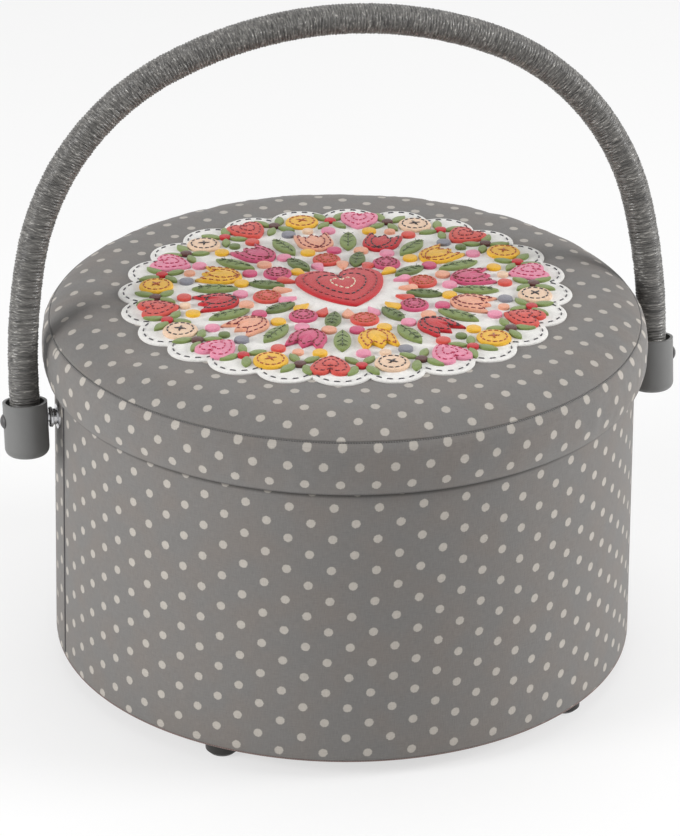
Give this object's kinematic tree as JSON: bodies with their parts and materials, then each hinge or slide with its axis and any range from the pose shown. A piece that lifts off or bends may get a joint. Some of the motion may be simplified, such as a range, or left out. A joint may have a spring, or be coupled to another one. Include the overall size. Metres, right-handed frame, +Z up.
{
  "type": "sewing box",
  "caption": "Round cloth-covered sewing box with a padded hinged lid bearing a felt picture, a swinging wound handle and a lift-out tray.",
  "frame": {"origin": "on the table, at the middle of the whole part's outline seen from above; the round box's axis passes through the origin to within a millimetre", "axes": "+Z up; +X along the line of the handle's two pivots, across the box; the front of the box faces -Y and the lid's hinge is at +Y"},
  "size_m": [0.307, 0.2656, 0.2915],
  "materials": {
    "base_felt": "dark grey felt",
    "card": "dense grey-brown card",
    "chrome": "polished chrome plate",
    "coral_felt": "coral felt, embroidered",
    "dotted_cloth": "grey cotton with cream dots",
    "foot_plastic": "dark grey moulded plastic",
    "green_felt": "leaf green felt, embroidered",
    "handle_thread": "grey satin thread wound close round a rod",
    "hinge_steel": "nickel-plated pressed steel",
    "lining_cloth": "plain pale grey lining cloth",
    "pincushion_satin": "deep pink satin over wadding",
    "pink_felt": "pink felt, embroidered",
    "red_felt": "red felt, embroidered",
    "socket_plastic": "smooth grey plastic",
    "tray_plastic": "off-white moulded plastic",
    "wadding": "white polyester wadding",
    "white_felt": "off-white felt with a running stitch",
    "yellow_felt": "yellow felt, embroidered"
  },
  "bodies": {
    "box": {"feet": "foot_plastic", "base_cover": "base_felt", "base_board": "card", "floor_lining": "lining_cloth", "wall_board": "card", "wall_cover": "dotted_cloth", "wall_lining": "lining_cloth", "rim_collar": "lining_cloth", "pivot_bolts": "chrome", "pivot_spacers": "chrome", "pivot_washers": "chrome", "pivot_caps": "chrome", "hinge_leaf_box": "hinge_steel", "hinge_pin": "hinge_steel"},
    "lid": {"hinge_leaf_lid": "hinge_steel", "lid_band_board": "card", "lid_top_board": "card", "lid_band_lining": "lining_cloth", "lid_lining": "lining_cloth", "lid_band_padding": "wadding", "lid_band_cover": "dotted_cloth", "lid_padding": "wadding", "lid_top_cover": "dotted_cloth", "pincushion": "pincushion_satin", "picture_ground": "white_felt", "picture_heart": "red_felt", "picture_leaves": "green_felt", "picture_tulips": "coral_felt", "picture_hearts": "pink_felt", "picture_buttons": "yellow_felt"},
    "handle": {"handle_grip": "handle_thread", "handle_sockets": "socket_plastic"},
    "tray": {"tray": "tray_plastic", "tray_partitions": "tray_plastic", "tray_grip": "tray_plastic"}
  },
  "joints": [
    {"name": "lid_hinge", "type": "hinge", "parent": "box", "child": "lid", "pos_m": [0, 0.1316, 0.1332], "axis": [-1, 0, 0], "range_deg": [0, 70]},
    {"name": "handle_swing", "type": "hinge", "parent": "box", "child": "handle", "pos_m": [0, 0, 0.123], "axis": [-1, 0, 0], "range_deg": [0, 112]},
    {"name": "tray_lift", "type": "slide", "parent": "box", "child": "tray", "axis": [0, 0, 1], "range_m": [0, 0.015]}
  ],
  "couplings": [
    {"joint": "handle_swing", "follows": "lid_hinge", "ratio": 1.6}
  ]
}
